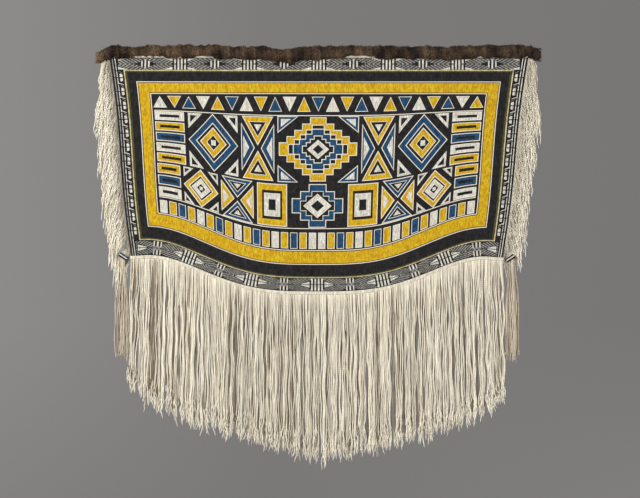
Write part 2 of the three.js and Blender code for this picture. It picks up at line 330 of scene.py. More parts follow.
def paint_top_lens(border, centre, half):
    reach = TOP_PITCH / 2 - BARS_HALF
    shoulder = reach - 37 * MM
    mouth = half - 10.5 * MM
    core, wedge, spread = 15.5 * MM, 50 * MM, 12.7 * MM
    lens = [(0, 0), (reach, 0), (reach, mouth), (shoulder, half), (0, half)]
    border.hatch(centre, lens, -HATCH_LEAN, TOP_HATCH_PITCH)
    border.four_ways(centre, [(reach, mouth + 1 * MM), (reach, half), (shoulder + 2 * MM, half)], WHITE)
    border.four_ways(centre, [(core, 0), (wedge, 0), (wedge - 19 * MM, 4 * MM), (core, 9.5 * MM)], BLACK)
    border.box(centre - core, centre + core, -0.63 * half, 0.63 * half, BLACK)
    for middle, high in ((centre - spread, 0.54), (centre, 0.82), (centre + spread, 0.54)):
        border.box(middle - 2.8 * MM, middle + 2.8 * MM, -high * half, high * half, WHITE)


def paint_top_bars(border, centre, half):
    border.box(centre - BARS_HALF, centre + BARS_HALF, -half, half, BLACK)
    for k in range(4):
        start = centre - BARS_HALF + (2 * k + 1) * BAR
        border.box(start, start + BAR, -half, half, WHITE)
    for side in (-1, 1):
        outer, inner = centre + side * BARS_HALF, centre + side * (BARS_HALF - 2 * BAR)
        border.box(min(outer, inner), max(outer, inner), -2 * MM, 2 * MM, BLACK)
        tip = outer + side * 8 * MM
        border.paint([(outer, -2.4 * MM), (outer, 2.4 * MM), (tip, 0.8 * MM), (tip, -0.8 * MM)], BLACK)


def lower_route():
    """Points along the lower figured border's middle line, with the way across it and its length so far."""
    xs = np.linspace(-LOWER_HALF, LOWER_HALF, 241)
    thick = FIGURED.lower + np.array([corner_rise(x) for x in xs])
    inset = thick / 2
    zs = np.array([lower_z(x) for x in xs])
    slopes = np.gradient(zs, xs)
    norm = np.sqrt(1 + slopes**2)
    points = np.stack([xs - slopes / norm * inset, zs + inset / norm], axis=1)
    lengths = np.concatenate([[0], np.cumsum(np.linalg.norm(np.diff(points, axis=0), axis=1))])
    normals = np.stack([-slopes / norm, 1 / norm], axis=1) * (thick / FIGURED.lower)[:, None]
    return points, normals, lengths - lengths[-1] / 2


def paint_lower_border():
    points, normals, lengths = lower_route()

    def place(s, t):
        at = [np.interp(s, lengths, column) for column in (*points.T, *normals.T)]
        return (float(at[0] + t * at[2]), float(at[1] + t * at[3]))

    half = FIGURED.lower / 2 - 2.6 * MM
    Border(place).repeat(LOWER_PITCH, half, paint_lower_lens, paint_lower_bars)


def paint_lower_lens(border, centre, half):
    reach = LOWER_PITCH / 2 - BARS_HALF
    core, gap, spread = 14.5 * MM, 6 * MM, 12 * MM
    border.hatch(centre, [(0, 0), (reach, 0), (reach, half), (0, half)], HATCH_LEAN, LOWER_HATCH_PITCH)
    border.four_ways(centre, [(core, half), (core, half - 6.5 * MM), (core + 24 * MM, half)], BLACK)
    for way in (-1, 1):
        outermost = abs(centre + way * reach) > 2.5 * LOWER_PITCH
        paint_points(border, centre + way * (70 * MM if outermost else reach), way)
        near, far = sorted((way * gap, way * half))
        border.box(centre - core, centre + core, near, far, BLACK)
        for middle, wide in ((centre - spread, 2.2 * MM), (centre, 3.1 * MM), (centre + spread, 2.2 * MM)):
            border.box(middle - wide, middle + wide, near, far, WHITE)
    border.box(centre - core, centre + core, -gap, gap, ASH)
    for dash in range(-2, 3):
        middle = centre + dash * 13 * MM
        border.box(middle - 4 * MM, middle + 4 * MM, -1.5 * MM, 1.5 * MM, BLACK)


def paint_points(border, root, way):
    """Two blunt white points that stand on a block's side, one above the other."""
    tip, long_tip = root - way * 32 * MM, root - way * 37 * MM
    for up in (-1, 1):
        border.paint([(root, 0), (root, up * 13 * MM), (long_tip, up * 3 * MM), (long_tip, 0)], BLACK)
        low, narrow, high = up * 1.2 * MM, up * 2.2 * MM, up * 10.5 * MM
        border.paint([(root, low), (root, high), (tip, narrow), (tip, low)], WHITE)


def paint_lower_bars(border, centre, half):
    border.box(centre - BARS_HALF, centre + BARS_HALF, -half, half, BLACK)
    for k in range(4):
        start = centre - BARS_HALF + (2 * k + 1) * BAR
        for t0, t1 in ((-half, -1.3 * MM), (1.3 * MM, half)):
            border.box(start, start + BAR, t0, t1, WHITE)
    last = BARS_HALF - BAR
    foot = [(last, half - 3 * MM), (BARS_HALF, half - 3 * MM), (last, half)]
    border.four_ways(centre, foot, WHITE)


def paint_side_border(side):
    """s runs down from the top edge, t inwards from the side edge."""

    def place(s, t):
        t *= mix(1, FIGURED.low / FIGURED.high, min(1, s / SIDE_DROP))
        z = max(-s, inner_lower_z(half_width(-s) - t, 0.5 * MM))
        return (side * (half_width(z) - t), z)

    border = Border(place)
    end = SIDE_DROP + 2 * CORNER_DIP
    start, finish = FIGURED.top + 3 * MM, -inner_lower_z(corner_x(OLIVE_LINE), OLIVE_LINE.lower)
    outer, inner, column = (6.8 * MM, 10.4 * MM), (17 * MM, 19.8 * MM), (27.5 * MM, 37.5 * MM)
    border.box(0, end, 0, SIDE_LINES, BLACK)
    border.box(start, finish, SIDE_LINES, FIGURED.high, BLACK)
    # painted shade: the left border's outer line is ash grey for the shadow of the fringe over it; the
    # right one is white
    border.box(0, end, *outer, ASH if side < 0 else WHITE)
    border.box(0, end, *inner, WHITE)
    repeats = round((finish - start) / SIDE_PITCH)
    pitch = (finish - start) / repeats
    for k in range(repeats + 1):
        paint_side_strokes(border, start + k * pitch, inner, column, finish)
    for k in range(repeats):
        paint_side_blocks(border, start + (k + 0.5) * pitch, outer, column)


def paint_side_blocks(border, middle, outer, column):
    """A white block above and below a thin black bar that also crosses the upright lines."""
    near, far = column
    for way in (-1, 1):
        block = [(0, near), (0, far), (11 * MM, far), (13.5 * MM, far - 3.5 * MM), (13.5 * MM, near)]
        border.paint([(middle + way * s, t) for s, t in block], WHITE)
    border.box(middle - 1.8 * MM, middle + 1.8 * MM, outer[0], far, BLACK)


def paint_side_strokes(border, middle, inner, column, finish):
    """Slanting strokes between two pairs of blocks; the upper one grows out of the inner line."""
    near, far = column
    border.box(middle - 0.6 * MM, middle + 2.8 * MM, *inner, BLACK)
    for step, root, colour in ((0, inner[1] - 2 * MM, WHITE), (1, near, ASH)):
        s = middle + (step - 0.4) * 8.4 * MM
        if s - 4 * MM > FIGURED.top and s + 7 * MM < finish:
            stroke = [(s - 4 * MM, root), (s - 1.2 * MM, root), (s + 5.4 * MM, far), (s + 2.6 * MM, far)]
            border.paint(stroke, colour)


def paint_bands():
    edge, figured, pale, olive = map(inset_loop, (OUTER_EDGE, FIGURED, PALE_LINE, OLIVE_LINE))
    black, yellow = inset_loop(BLACK_BAND), inset_loop(YELLOW_BAND)
    black_ink = inset_loop(drawn_in(BLACK_BAND, CORD_WIDTH / 2 + INK_LINE))
    yellow_ink = inset_loop(drawn_in(YELLOW_BAND, -CORD_WIDTH / 2 - INK_LINE))
    band(black_ink, yellow_ink, YELLOW)
    band(yellow_ink, yellow, INK)
    band(black, black_ink, INK)
    band(olive, black, BLACK)
    band(pale, olive, OLIVE)
    band(figured, pale, PALE)
    band(edge, figured, BLACK)
    lay_cord(black)
    lay_cord(yellow)


# The field: figures in cells, with a = -1 to 1 across a cell and b = -1 to 1 up it


class Cell:
    """A cell of the field, from share x0 to x1 of its half width and v0 to v1 of its depth."""

    def __init__(self, x0, x1, v0, v1):
        self.x0, self.x1, self.v0, self.v1 = x0, x1, v0, v1

    def place(self, a, b):
        across = mix(self.x0, self.x1, (a + 1) / 2)
        v = mix(self.v1, self.v0, (b + 1) / 2)
        top, corner = YELLOW_BAND.top, corner_x(YELLOW_BAND)
        depth = -inner_lower_z(across * corner, YELLOW_BAND.lower) - top
        x = across * mix(inner_half(-top, YELLOW_BAND), corner, v)
        return (x, -top - v * depth)

    def figure(self, points, colour, cord=CORD_WIDTH):
        outline = [self.place(a, b) for a, b in split_edges(points, CELL_EDGE)]
        paint(outline, colour)
        if cord:
            lay_cord(outline, cord)


THIN_CORD = 2.6 * MM
SQUARE = [(-1, -1), (1, -1), (1, 1), (-1, 1)]
DIAMOND = [(0, -1), (1, 0), (0, 1), (-1, 0)]


def scaled(points, a, b):
    return [(p * a, q * b) for p, q in points]


def stepped(steps):
    """A diamond with stepped sides."""
    first = []
    for k in range(steps):
        first += [(1 - k / steps, k / steps), (1 - k / steps, (k + 1) / steps)]
    second = [(-a, b) for a, b in reversed(first)]
    third = [(-a, -b) for a, b in first]
    fourth = [(a, -b) for a, b in reversed(first)]
    ring = first + second + third + fourth
    return [p for i, p in enumerate(ring) if p != ring[i - 1]]


def nest(cell, shape, *layers):
    """Copies of a shape inside one another: (width share, height share, colour, cord)."""
    for a, b, colour, cord in layers:
        cell.figure(scaled(shape, a, b), colour, cord)


def corner_triangles(cell, *layers):
    """Triangles in each corner of a cell: (far share, near share, colour, cord)."""
    for a, b in SQUARE:
        for far, near, colour, cord in layers:
            cell.figure([(a * far, b * far), (a * far, b * near), (a * near, b * far)], colour, cord)


def great_lozenge(cell, outer, inner):
    nest(cell, stepped(5), (0.94, 0.94, outer, CORD_WIDTH), (0.72, 0.72, BLACK, CORD_WIDTH))
    nest(cell, stepped(4), (0.6, 0.6, inner, CORD_WIDTH), (0.38, 0.4, BLACK, CORD_WIDTH))
    nest(cell, DIAMOND, (0.27, 0.29, WHITE, 0), (0.13, 0.14, BLACK, 0))
    corner_triangles(cell, (0.97, 0.5, inner, CORD_WIDTH), (0.9, 0.66, WHITE, 0))


def hourglass(cell, ends, sides):
    for way in (-1, 1):
        cell.figure([(-0.86, way * 0.95), (0.86, way * 0.95), (0, way * 0.1)], ends)
        cell.figure([(-0.5, way * 0.8), (0.5, way * 0.8), (0, way * 0.34)], BLACK, THIN_CORD)
        cell.figure([(-0.22, way * 0.72), (0.22, way * 0.72), (0, way * 0.5)], WHITE, 0)
        cell.figure([(way * 0.93, -0.72), (way * 0.93, 0.72), (way * 0.2, 0)], sides)
        cell.figure([(way * 0.84, -0.36), (way * 0.84, 0.36), (way * 0.5, 0)], WHITE, 0)


def diamonds(cell, outer, inner):
    nest(cell, DIAMOND, (0.95, 0.95, outer, CORD_WIDTH), (0.66, 0.66, BLACK, CORD_WIDTH))
    nest(cell, DIAMOND, (0.5, 0.5, inner, CORD_WIDTH), (0.26, 0.26, BLACK, THIN_CORD))
    cell.figure(scaled(SQUARE, 0.09, 0.09), WHITE, 0)
    corner_triangles(cell, (0.96, 0.4, WHITE, 0), (0.88, 0.62, BLACK, 0))


def ladder(cell, rungs, colours):
    """Rungs across a cell, each a bar with a dark slot."""
    for k in range(rungs):
        low, high = -1 + 2 * (k + 0.12) / rungs, -1 + 2 * (k + 0.88) / rungs
        cell.figure([(-0.9, low), (0.9, low), (0.9, high), (-0.9, high)], colours[k % len(colours)])
        third = (high - low) / 3
        slot = [(-0.62, low + third), (0.62, low + third), (0.62, high - third), (-0.62, high - third)]
        cell.figure(slot, BLACK, 0)


def small_lozenge(cell, outer, inner):
    nest(cell, stepped(3), (0.92, 0.94, outer, CORD_WIDTH), (0.62, 0.64, BLACK, THIN_CORD))
    nest(cell, DIAMOND, (0.5, 0.52, inner, THIN_CORD), (0.24, 0.25, BLACK, 0))


def nested_squares(cell, outer, inner):
    nest(cell, SQUARE, (0.9, 0.92, outer, CORD_WIDTH), (0.62, 0.64, BLACK, 0))
    nest(cell, SQUARE, (0.48, 0.5, inner, THIN_CORD), (0.22, 0.24, BLACK, 0))


def saw_teeth(cell, teeth, colours):
    """Triangles that stand in a row, with their points up and down by turns."""
    for k in range(teeth):
        left, right = -1 + 2 * k / teeth, -1 + 2 * (k + 1) / teeth
        way = 1 if k % 2 else -1
        middle, pad = (left + right) / 2, 0.12 / teeth
        tooth = [(left + pad, way * 0.8), (right - pad, way * 0.8), (middle, -way * 0.75)]
        cell.figure(tooth, colours[k % len(colours)], THIN_CORD)


def uprights(cell, count, colours):
    for k in range(count):
        left, right = -1 + 2 * (k + 0.14) / count, -1 + 2 * (k + 0.86) / count
        colour = colours[k % len(colours)]
        cell.figure([(left, -0.8), (right, -0.8), (right, 0.8), (left, 0.8)], colour, THIN_CORD)


def paint_field():
    paint(inset_loop(OUTER_EDGE), BLACK)
    crown, waist, foot, base = 0.14, 0.57, 0.86, 1.0
    for v in (crown, foot):
        line = Cell(-0.985, 0.985, v - 0.01, v + 0.01)
        lay_cord([line.place(a, 0) for a in np.linspace(-1, 1, 41)], CORD_WIDTH, closed=False)
    saw_teeth(Cell(-0.99, 0.99, 0.01, crown - 0.015), 23, (WHITE, YELLOW, BLUE))
    great_lozenge(Cell(-0.25, 0.25, crown, waist), YELLOW, BLUE)
    small_lozenge(Cell(-0.17, 0.17, waist, foot), BLUE, WHITE)
    for side in (-1, 1):
        paint_half_field(side, crown, waist, foot)
        uprights(side_cell(side, 0.0, 0.99, foot + 0.015, base), 17, (WHITE, YELLOW, BLUE, YELLOW))


def side_cell(side, x0, x1, v0, v1):
    return Cell(*sorted((side * x0, side * x1)), v0, v1)


def paint_half_field(side, crown, waist, foot):
    hourglass(side_cell(side, 0.26, 0.47, crown, waist), YELLOW, BLUE)
    diamonds(side_cell(side, 0.48, 0.79, crown, waist), BLUE, YELLOW)
    ladder(side_cell(side, 0.80, 0.99, crown, waist), 5, (YELLOW, WHITE, BLUE))
    nested_squares(side_cell(side, 0.18, 0.38, waist, foot), YELLOW, WHITE)
    hourglass(side_cell(side, 0.39, 0.60, waist, foot), BLUE, YELLOW)
    diamonds(side_cell(side, 0.61, 0.83, waist, foot), YELLOW, WHITE)
    ladder(side_cell(side, 0.84, 0.99, waist, foot), 3, (WHITE, BLUE, YELLOW))


# Meshes


def new_object(mesh, materials, node=None, slot=None):
    """An object with its mesh's name; a piece of the blanket is attached to the root body, and may replace
    a node.
    """
    piece = bpy.data.objects.new(mesh.name, mesh)
    bpy.context.scene.collection.objects.link(piece)
    for material in materials:
        mesh.materials.append(material)
    if slot:
        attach(piece, "root")
    if node:
        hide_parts(node)
    return piece


def mesh_of(name, verts, faces, slots=None, uv=None):
    """A smooth mesh; uv is one pair for each face corner."""
    mesh = bpy.data.meshes.new(name)
    mesh.from_pydata([tuple(map(float, v)) for v in verts], [], faces, shade_flat=False)
    if slots is not None:
        mesh.polygons.foreach_set("material_index", slots)
    if uv is not None:
        layer = mesh.uv_layers.new(name="along")
        layer.data.foreach_set("uv", np.asarray(uv, dtype=np.float32).ravel())
    mesh.update()
    return mesh


def array_mesh(name, verts, polygons, tints):
    """A mesh from arrays: polygons is a list of (faces, corners) arrays, tints a tone for each vertex."""
    mesh = bpy.data.meshes.new(name)
    mesh.vertices.add(verts.size // 3)
    mesh.vertices.foreach_set("co", verts.astype(np.float32).ravel())
    corners = np.concatenate([faces.ravel() for faces in polygons])
    sizes = np.repeat([faces.shape[1] for faces in polygons], [len(faces) for faces in polygons])
    mesh.loops.add(corners.size)
    mesh.loops.foreach_set("vertex_index", corners.astype(np.int32))
    mesh.polygons.add(sizes.size)
    mesh.polygons.foreach_set("loop_start", (np.cumsum(sizes) - sizes).astype(np.int32))
    mesh.update(calc_edges=True)
    tint = mesh.attributes.new("tint", "FLOAT", "POINT")
    tint.data.foreach_set("value", tints.astype(np.float32))
    return mesh


def ground_points():
    points = []
    x_steps = int(TOP_HALF / GROUND_STEP)
    for i in range(-x_steps, x_steps + 1):
        for j in range(1, int(1.0 / GROUND_STEP)):
            x, z = (i + 0.5 * (j % 2)) * GROUND_STEP, -j * GROUND_STEP
            if abs(x) < half_width(z) - GROUND_STEP / 2 and z > lower_z(x) + GROUND_STEP / 2:
                points.append((x, z))
    return points


def woven_panel(materials):
    coords, faces = [], []
    for points, _ in painted:
        faces.append(list(range(len(coords), len(coords) + len(points))))
        coords += points
    coords += ground_points()
    flat = [Vector(p) for p in coords]
    verts, _, tris, _, _, origins = delaunay_2d_cdt(flat, [], faces, 1, 1e-6, True)
    tris = [tri for tri, origin in zip(tris, origins) if origin]
    slots = [painted[max(origin)][1] for origin in origins if origin]
    front = [(v.x, cloth_y(v.x, v.y) - CLOTH_THICK / 2, v.y) for v in verts]
    back = [(x, y + CLOTH_THICK, z) for x, y, z in front]
    count = len(front)
    both = [tuple(t) for t in tris] + [tuple(count + i for i in reversed(t)) for t in tris]
    sides = [edge for tri in tris for edge in edges(tri)]
    known = set(sides)
    rim = [(b, a, count + a, count + b) for a, b in sides if (b, a) not in known]
    mesh = mesh_of("woven_panel_cloth", front + back, both + rim, slots + slots + [BLACK] * len(rim))
    flat_map(mesh, count, 2 * len(tris))
    return new_object(mesh, materials, "woven_panel", "woven_wool")


def flat_map(mesh, front_count, sheet_faces):
    """A flat map: the front in its upper half, the back below, the rim's faces in a row at the bottom."""
    layer = mesh.uv_layers.new(name="OFBake")
    rim_count = len(mesh.polygons) - sheet_faces
    for face in mesh.polygons:
        rim_place = (face.index - sheet_faces) / rim_count
        for corner, loop in enumerate(face.loop_indices):
            vertex = mesh.loops[loop].vertex_index
            x, _, z = mesh.vertices[vertex].co
            if face.index < sheet_faces:
                low = 0.515 if vertex < front_count else 0.02
                uv = (0.5 + 0.49 * x / TOP_HALF, low + 0.475 * (1 + z / (SIDE_DROP + BOW_DROP)))
            else:
                uv = (rim_place + (corner in (1, 2)) / rim_count, 0.01 * (corner > 1))
            layer.data[loop].uv = uv


def between_rings(near, far, sides):
    """Faces between two rings of vertices, which start at near and at far."""
    return [(near + k, near + (k + 1) % sides, far + (k + 1) % sides, far + k) for k in range(sides)]


# Half-round section of a raised cord, in shares of its width and height
CORD_SECTION = ((-0.5, -0.35), (-0.3, 0.7), (0.0, 1.0), (0.3, 0.7), (0.5, -0.35))


def cord_rings(path, width, closed):
    """The section's points at each point of a cord's path, and the cord's length up to there."""
    rings, lengths = [], [0.0]
    for i, (x, z) in enumerate(path):
        before = path[i - 1] if closed or i else path[i]
        after = path[(i + 1) % len(path)] if closed or i + 1 < len(path) else path[i]
        a = Vector((x - before[0], z - before[1])).normalized()
        b = Vector((after[0] - x, after[1] - z)).normalized()
        way = (a + b).normalized() if (a + b).length > 0.2 else b
        across = Vector((-way.y, way.x))
        bend = max(0.45, way.dot(b) if b.length else 1.0)
        for share, rise in CORD_SECTION:
            p = Vector((x, z)) + across * (share * width / bend)
            y = cloth_y(p.x, p.y) - CLOTH_THICK / 2 - rise * CORD_HEIGHT * width / CORD_WIDTH
            rings.append((p.x, y, p.y))
        lengths.append(lengths[-1] + math.dist((x, z), after))
    return rings, lengths


def outline_cords(material):
    verts, faces, uv = [], [], []
    sides = len(CORD_SECTION)
    for points, width, closed in cords:
        path = [p for i, p in enumerate(points) if math.dist(p, points[i - 1]) > 0.2 * MM]
        start, count = len(verts), len(path)
        rings, lengths = cord_rings(path, width, closed)
        verts += rings
        for i in range(count if closed else count - 1):
            near, far = start + i * sides, start + (i + 1) % count * sides
            faces += between_rings(near, far, sides)
            v0, v1 = lengths[i], lengths[i + 1]
            for k in range(sides):
                u0, u1 = k / sides, (k + 1) / sides
                uv += [(u0, v0), (u1, v0), (u1, v1), (u0, v1)]
    return new_object(mesh_of("outline_cords", verts, faces, uv=uv), [material], slot="woven_wool")


def tubes(name, paths, radii, tints, sides, material, node=None):
    """Round strands: paths is (strands, points, 3), radii and tints (strands, points) or (strands, 1)."""
    count, points, _ = paths.shape
    way = np.gradient(paths, axis=1)
    way /= np.linalg.norm(way, axis=2, keepdims=True)
    across = np.cross(way, np.array([0.0, 1.0, 0.0]))
    across /= np.linalg.norm(across, axis=2, keepdims=True)
    outward = np.cross(across, way)
    angles = 2 * np.pi * np.arange(sides)[:, None] / sides
    ring = across[:, :, None] * np.cos(angles) + outward[:, :, None] * np.sin(angles)
    verts = paths[:, :, None] + ring * radii[:, :, None, None]
    grid = np.arange(count * points * sides).reshape(count, points, sides)
    turned = np.roll(grid, -1, axis=2)
    quads = np.stack([grid[:, :-1], turned[:, :-1], turned[:, 1:], grid[:, 1:]], axis=-1).reshape(-1, 4)
    caps = np.concatenate([grid[:, 0, ::-1], grid[:, -1]])
    tones = np.repeat(np.broadcast_to(tints, (count, points)).ravel(), sides)
    mesh = array_mesh(name, verts, [quads, caps], tones)
    lengths = np.cumsum(np.linalg.norm(np.diff(paths, axis=1), axis=2), axis=1)
    lengths = np.pad(lengths, ((0, 0), (1, 0)))[:, :, None]
    u0, v0, v1 = np.arange(sides) / sides, lengths[:, :-1], lengths[:, 1:]
    u1 = u0 + 1 / sides
    corners = np.stack(np.broadcast_arrays(u0, v0, u1, v0, u1, v1, u0, v1), axis=-1).ravel()
    uv = np.concatenate([corners, np.zeros(2 * caps.size)]).astype(np.float32)
    mesh.uv_layers.new(name="along").data.foreach_set("uv", uv)
    mesh.validate()
    return new_object(mesh, [material], node, "yarn")


def wander(count, points, steps, size):
    """Smooth random sideways drift along each strand, steps bends long and about size wide."""
    knots = rng.normal(0, size, (count, steps + 1))
    knots[:, 0] = 0
    at = np.linspace(0, steps, points)
    low = np.minimum(at.astype(int), steps - 1)
    share = smooth(at - low)
    return knots[:, low] * (1 - share) + knots[:, low + 1] * share


def fringe_tip_z(u):
    rise = FRINGE_SLOPE_RISE * np.abs(u - FRINGE_LOWEST) ** 1.1 + FRINGE_END_RISE * np.abs(u) ** 10
    return FRINGE_TIP_Z + FRINGE_TILT * u + rise


def curled_share():
    """Shares of a strand's length, close together near its end."""
    return np.concatenate([np.linspace(0, 0.86, 17), np.linspace(0.875, 1, 10)])[None]


def lower_strands(count, depth, raggedness):
    """Paths of strands that leave the lower edge side by side and gather into hanks on the way down."""
    share = curled_share()
    points = share.size
    loose, curl = smooth(share * 4), smooth((share - 0.84) / 0.12)
    u = np.linspace(-1, 1, count) + rng.uniform(-0.4, 0.4, count) * 2 / count
    x0 = u * (LOWER_HALF - 1 * MM)
    z0 = np.array([lower_z(x) for x in x0]) - SEAM
    y0 = np.array([cloth_y(a, b) for a, b in zip(x0, z0)])
    bounds = np.cumsum(HANK_WIDTHS) / HANK_WIDTHS.sum() * 2 - 1
    hank = np.minimum(np.searchsorted(bounds, u), HANKS - 1)
    centre = np.array([x0[hank == k].mean() if np.any(hank == k) else 0.0 for k in range(HANKS)])
    tip = fringe_tip_z(u) + HANK_LENGTHS[hank] + rng.normal(0, 15, count) * MM * raggedness
    pull = smooth(share * 3.5) * rng.uniform(0.05, 0.6, count)[:, None]
    x = x0[:, None] + (centre[hank] - x0)[:, None] * pull
    x += FRINGE_SPREAD * u[:, None] * share + HANK_DRIFTS[hank][:, None] * share
    bends = share * ((z0 - tip) / HANK_BEND * (0.6 + HANK_TONES[hank] / 2))[:, None]
    x += HANK_SWAY * np.sin(2 * np.pi * (bends + HANK_DEPTHS[hank][:, None] / (8 * MM))) * loose
    x += wander(count, points, 7, 2.5 * MM) * loose + wander(count, points, 17, 0.8 * MM)
    x += wander(count, points, 18, 1.7 * MM) * curl
    y = y0[:, None] * (1 - 0.5 * share) + wander(count, points, 5, 1.5 * MM) * loose
    y += (rng.uniform(-1, 1, count) * depth + HANK_DEPTHS[hank])[:, None] * smooth(share * 10)
    y += wander(count, points, 18, 1.7 * MM) * curl
    z = mix(z0[:, None], tip[:, None], share)
    radii = np.full((count, points), YARN) * (1 - 0.45 * smooth((share - 0.975) / 0.025))
    return np.stack([x, y, z], axis=-1), radii, HANK_TONES[hank][:, None]


def lower_fringe(material, shade_core_material):
    """An outer layer of strands in two pieces, and a straighter core of darker yarn that stands in as
    painted shade in the gaps between the hanks.
    """
    share = curled_share()
    outer, radii, tones = lower_strands(OUTER_STRANDS, 5.5 * MM, 1.0)
    tones = mix(0.72, tones, smooth(share * 5))
    tints = np.clip(tones + rng.normal(0.2, 0.25, (OUTER_STRANDS, 1)), 0, 1.1)
    core, core_radii, _ = lower_strands(CORE_STRANDS, 1.5 * MM, 0.4)
    core[:, :, 0] = mix(core[:, :1, 0] * (1 + 0.016 * share), core[:, :, 0], 0.35)
    core[:, :, 2] = mix(core[:, :1, 2], core[:, :, 2], 0.96)
    # painted shade: the core's tone, darker further down the strands
    shade = 0.5 - 0.5 * smooth(share * 3) + rng.uniform(0, 0.12, (CORE_STRANDS, 1))
    pieces = []
    for first, name, node in ((0, "yarns", "lower_fringe"), (1, "more_yarns", None)):
        half = slice(first, None, 2)
        name = f"lower_fringe_{name}"
        pieces.append(tubes(name, outer[half], radii[half], tints[half], 5, material, node))
    return pieces + [tubes("lower_fringe_shade_core_yarns", core, core_radii, shade, 4, shade_core_material)]


def fringe_heading(material):
    """The close row of warp ends along the lower edge, as short cords side by side."""
    x0 = np.linspace(-1, 1, HEADING_ENDS) * (LOWER_HALF + 1 * MM)
    z0 = np.array([lower_z(min(LOWER_HALF, max(-LOWER_HALF, x))) for x in x0]) - SEAM
    y0 = np.array([cloth_y(a, b) for a, b in zip(x0, z0)]) - 1.2 * MM
    z = z0[:, None] - 11 * MM * np.linspace(0, 1, 4)[None]
    paths = np.stack(np.broadcast_arrays(x0[:, None], y0[:, None], z), axis=-1)
    tints = rng.uniform(0.45, 1.0, (HEADING_ENDS, 1))
    return tubes("fringe_heading", paths, np.full(z.shape, 1.9 * MM), tints, 5, material)


def side_fringe(side, name, material):
    """Short yarns thrown outwards along a side edge; each side has a fall of its own."""
    count, points = SIDE_STRANDS, 20
    z0 = -np.linspace(-0.05, 0.708, count) + rng.normal(0, 3, count) * MM
    past = np.maximum(0, z0 + 0.002)
    z0 = np.clip(z0, -0.712, 3 * MM)
    x0 = np.array([half_width(z) for z in z0]) + SEAM + past * 0.25
    y0 = np.array([cloth_y(side * a, min(0.0, b)) for a, b in zip(x0, z0)])
    length = rng.uniform(0.09, 0.19, count)
    if side > 0:
        length *= 1 - 0.4 * smooth((-0.58 - z0) / 0.1)
    share = np.linspace(0, 1, points)[None]
    loose = smooth(share * 4)
    drop = length[:, None] * share
    reach = SIDE_REACH[side]
    thrown = rng.uniform(0.02, 1.0, count) ** 0.85 * (reach - 16 * MM)
    thrown *= 0.32 + 0.68 * smooth((-z0 - 0.02) / (SIDE_START - 0.02)) - 0.1 * smooth((-0.22 - z0) / 0.08)
    thrown *= 1 + (0.16 if side > 0 else 0.03) * np.exp(-(((z0 + 0.12) / 0.05) ** 2))
    thrown *= 1 - 0.2 * smooth((-0.56 - z0) / 0.15)
    bend = (14 * MM + 0.42 * thrown)[:, None]
    out = thrown[:, None] * (1 - np.exp(-drop / bend)) + rng.uniform(0, 0.06, count)[:, None] * drop
    out += wander(count, points, 8, 2.2 * MM) * loose
    out = np.clip(out, 1 * MM, reach + 8 * MM)
    y = y0[:, None] + rng.uniform(-10, 10, count)[:, None] * MM * loose
    y += wander(count, points, 8, 1.8 * MM)
    z = z0[:, None] - drop
    wrap = binding_matrix(side).translation
    near = np.exp(-(((x0[:, None] + out - abs(wrap.x)) / 0.024) ** 2) - ((z - wrap.z) / 0.03) ** 2)
    y = mix(y, 12 * MM, np.clip(near * 1.6, 0, 1))
    paths = np.stack([side * (x0[:, None] + out), y, z], axis=-1)
    radii = np.full((count, points), YARN * 0.85) * (1 - 0.45 * smooth((share - 0.94) / 0.06))
    # painted light and shade: the left fringe is painted lighter, as lit from the left, and each yarn is
    # painted in shade near its root by the edge, brightening out to lit_from
    side_light, root_shade, lit_from = (1.24, 0.18, 30 * MM) if side < 0 else (1.1, 0.4, 42 * MM)
    tints = rng.normal(side_light, 0.18, (count, 1)) * mix(root_shade, 1, smooth(out / lit_from))
    tints = np.clip(tints, 0, 1.25)
    return tubes(f"{name}_yarns", paths, radii, tints, 5, material, name)


def binding_matrix(side):
    reach = BINDING_HALF_LENGTH * math.cos(BINDING_TILT) + BINDING_HALF_HEIGHT * math.sin(BINDING_TILT)
    edge = half_width(-SIDE_DROP - CORNER_DIP)
    x = edge + HEM_OVERHANG + SEAM + reach
    y = cloth_y(side * edge, -SIDE_DROP - CORNER_DIP)
    return Matrix.Translation((side * x, y, BINDING_Z)) @ Matrix.Rotation(-side * BINDING_TILT, 4, "Y")


def binding(side, name, materials):
    """Wrapped rings round the tassel's head, one above the other."""
    matrix = binding_matrix(side)
    height = 2 * BINDING_HALF_HEIGHT / len(materials)
    around, section, thick = 40, 8, 2.4 * MM
    verts, faces, slots = [], [], []
    for row in range(len(materials)):
        z = BINDING_HALF_HEIGHT - (row + 0.5) * height
        start = len(verts)
        for i in range(around):
            angle = 2 * math.pi * i / around
            c, s = math.cos(angle), math.sin(angle)
            corner = (abs(c) ** 4 + abs(s) ** 4) ** -0.25
            for k in range(section):
                turn = 2 * math.pi * k / section
                grow = thick * (math.cos(turn) - 1)
                x = (BINDING_HALF_LENGTH + grow) * c * corner
                y = (BINDING_HALF_DEPTH + grow) * s * corner
                verts.append(matrix @ Vector((x, y, z + height / 2 * math.sin(turn))))
            a, b = start + i * section, start + (i + 1) % around * section
            for k in range(section):
                m = (k + 1) % section
                faces.append((a + k, b + k, b + m, a + m))
                slots.append(row)
    return new_object(mesh_of(f"{name}_wraps", verts, faces, slots), materials, name, "binding")


